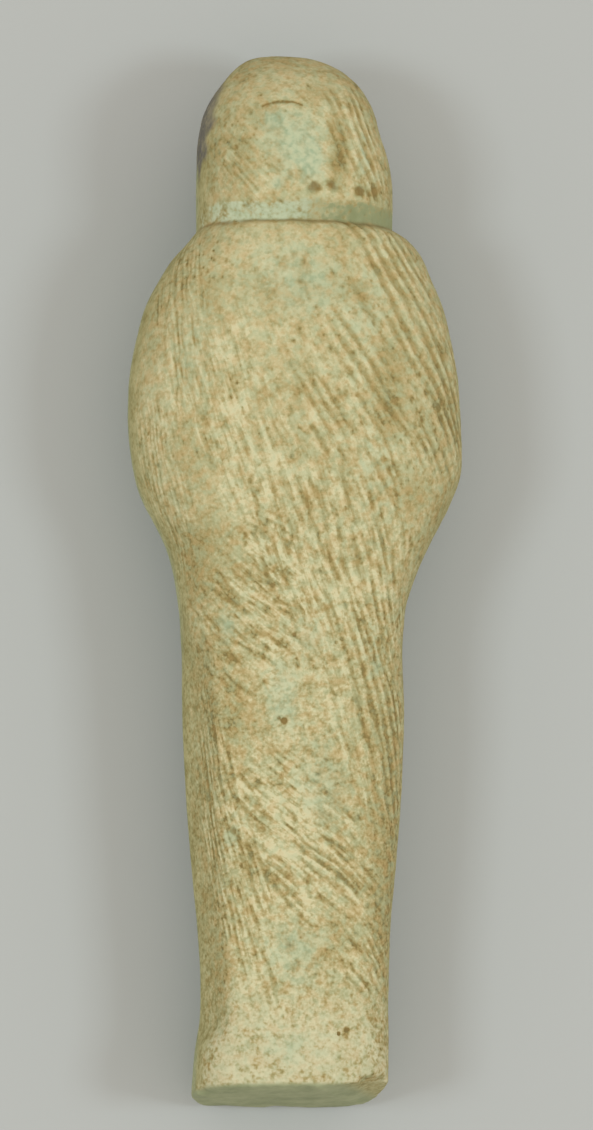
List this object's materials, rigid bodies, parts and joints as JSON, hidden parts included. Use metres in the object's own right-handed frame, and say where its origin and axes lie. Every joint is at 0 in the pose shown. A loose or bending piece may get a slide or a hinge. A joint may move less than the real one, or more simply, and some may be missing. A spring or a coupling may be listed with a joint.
{
  "type": "funerary figurine",
  "caption": "Mummiform faience funerary figurine with a plain wig, crossed forearms and a scraped back, lying on its front with its back up.",
  "frame": {"origin": "centre of the bounding box in plan, on the plane that the fists and toes rest on", "axes": "+Y from the sole to the crown, +Z from the front to the back, +X to the figure's right hand"},
  "size_m": [0.0382, 0.12, 0.0237],
  "materials": {
    "faience": "dull, weathered pale green glaze over a buff body, brown in the scrape marks"
  },
  "bodies": {
    "root": {"ushabti_figurine": "faience"}
  },
  "joints": []
}
